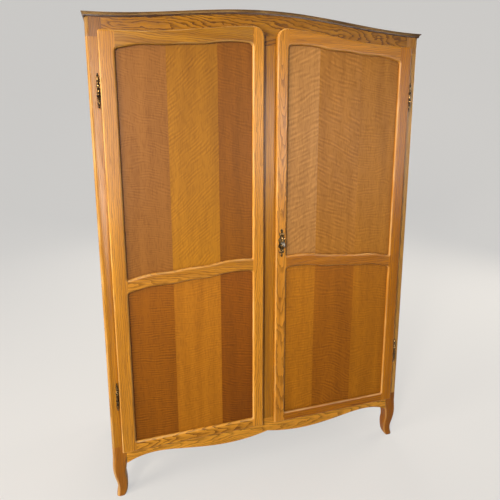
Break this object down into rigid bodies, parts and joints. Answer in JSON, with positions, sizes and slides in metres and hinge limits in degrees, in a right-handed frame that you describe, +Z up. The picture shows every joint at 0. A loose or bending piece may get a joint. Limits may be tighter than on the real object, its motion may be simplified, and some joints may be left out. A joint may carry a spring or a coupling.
{
  "type": "wardrobe",
  "caption": "Freestanding oak wardrobe with framed panel doors on turned pin hinges, a serpentine cornice, curved front legs, a lock with key, a hat shelf and a hanging rail.",
  "frame": {"origin": "on the floor, under the middle of the bounding box", "axes": "+Z up, front of the wardrobe faces -Y, +X to the right as seen from the front"},
  "size_m": [1.358, 0.5778, 1.956],
  "materials": {
    "oak_frame": "satin lacquered golden oak",
    "oak_panel": "satin lacquered quarter-sawn oak",
    "oak_inside": "plain waxed oak",
    "dark_bronze": "dark patinated bronze",
    "steel": "worn grey steel"
  },
  "bodies": {
    "case": {"leg_front_left": "oak_frame", "leg_front_right": "oak_frame", "legs_rear": "oak_frame", "apron_front": "oak_frame", "aprons_side": "oak_frame", "apron_rear": "oak_inside", "corner_dowels": "oak_inside", "floor_bearers": "oak_inside", "floor_boards": "oak_inside", "post_front_left": "oak_frame", "post_front_right": "oak_frame", "posts_rear": "oak_frame", "side_rails_left": "oak_frame", "side_rails_right": "oak_frame", "side_panels_left": "oak_panel", "side_panels_right": "oak_panel", "back_frame": "oak_inside", "back_panels": "oak_inside", "mullion": "oak_frame", "strike_plate": "steel", "frieze": "oak_frame", "head_front_left": "oak_frame", "head_front_right": "oak_frame", "heads_rear": "oak_frame", "top_sides": "oak_frame", "top_rear": "oak_inside", "cornice_front": "oak_frame", "cornice_left": "oak_frame", "cornice_right": "oak_frame", "top_bearers": "oak_inside", "top_boards": "oak_inside", "hat_shelf": "oak_inside", "shelf_bearers": "oak_inside", "hanging_rail": "steel", "rail_sockets": "steel", "hinges_case": "dark_bronze"},
    "left_door": {"left_door_outer_stile": "oak_frame", "left_door_inner_stile": "oak_frame", "left_door_top_rail": "oak_frame", "left_door_mid_rail": "oak_frame", "left_door_bottom_rail": "oak_frame", "left_door_upper_panel": "oak_panel", "left_door_lower_panel": "oak_panel", "hinges_left_door": "dark_bronze", "left_bolt_plates": "steel"},
    "right_door": {"right_door_outer_stile": "oak_frame", "right_door_inner_stile": "oak_frame", "right_door_top_rail": "oak_frame", "right_door_mid_rail": "oak_frame", "right_door_bottom_rail": "oak_frame", "right_door_upper_panel": "oak_panel", "right_door_lower_panel": "oak_panel", "hinges_right_door": "dark_bronze", "escutcheon": "dark_bronze", "lock_case": "steel"},
    "key": {"key": "steel"},
    "lock_bolt": {"lock_bolt": "steel"},
    "left_bolt_top": {"left_bolt_top": "steel"},
    "left_bolt_bottom": {"left_bolt_bottom": "steel"}
  },
  "joints": [
    {"name": "left_door_swing", "type": "hinge", "parent": "case", "child": "left_door", "pos_m": [-0.6375, -0.2414, 1], "axis": [0, 0, -1], "range_deg": [0, 160]},
    {"name": "right_door_swing", "type": "hinge", "parent": "case", "child": "right_door", "pos_m": [0.6375, -0.2414, 1], "axis": [0, 0, 1], "range_deg": [0, 160]},
    {"name": "key_turn", "type": "hinge", "parent": "right_door", "child": "key", "pos_m": [0.0505, -0.2779, 1.046], "axis": [0, 1, 0], "range_deg": [0, 360]},
    {"name": "lock_bolt_slide", "type": "slide", "parent": "right_door", "child": "lock_bolt", "axis": [-1, 0, 0], "range_m": [0, 0.012]},
    {"name": "top_bolt_slide", "type": "slide", "parent": "left_door", "child": "left_bolt_top", "axis": [0, 0, 1], "range_m": [0, 0.014]},
    {"name": "bottom_bolt_slide", "type": "slide", "parent": "left_door", "child": "left_bolt_bottom", "axis": [0, 0, -1], "range_m": [0, 0.014]}
  ],
  "couplings": [
    {"joint": "lock_bolt_slide", "follows": "key_turn", "m_per_rad": 0.0019098}
  ]
}
